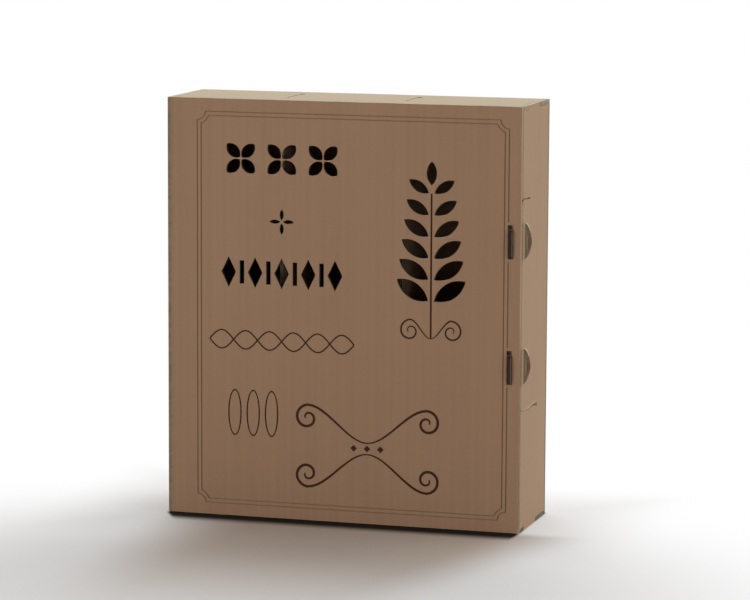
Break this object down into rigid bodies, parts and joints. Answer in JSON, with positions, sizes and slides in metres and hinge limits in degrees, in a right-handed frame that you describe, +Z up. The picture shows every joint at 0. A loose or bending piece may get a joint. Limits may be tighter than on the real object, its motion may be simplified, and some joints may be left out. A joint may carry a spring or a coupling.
{
  "type": "bottle shipping box",
  "caption": "Flat upright shipping box of kraft corrugated board for bottles, with a hinged cut-out front lid, lock tongues and loose dividers.",
  "frame": {"origin": "middle of the underside, under the middle of the box and the tongues that stand out of the lid", "axes": "+Z up, along the bottles; +X to the right along the lid, from its fold to the tongues; -Y out of the lid"},
  "size_m": [0.2958, 0.0932, 0.34],
  "materials": {
    "board": "matt kraft corrugated board",
    "lid_board": "matt kraft corrugated board with burnt cut edges",
    "divider_board": "matt kraft corrugated board"
  },
  "bodies": {
    "tray": {"tray": "board", "divider_left": "divider_board", "divider_right": "divider_board"},
    "lid": {"lid": "lid_board"}
  },
  "joints": [
    {"name": "lid_fold", "type": "hinge", "parent": "tray", "child": "lid", "pos_m": [-0.1455, -0.04235, 0.17], "axis": [0, 0, -1], "range_deg": [0, 180]}
  ]
}
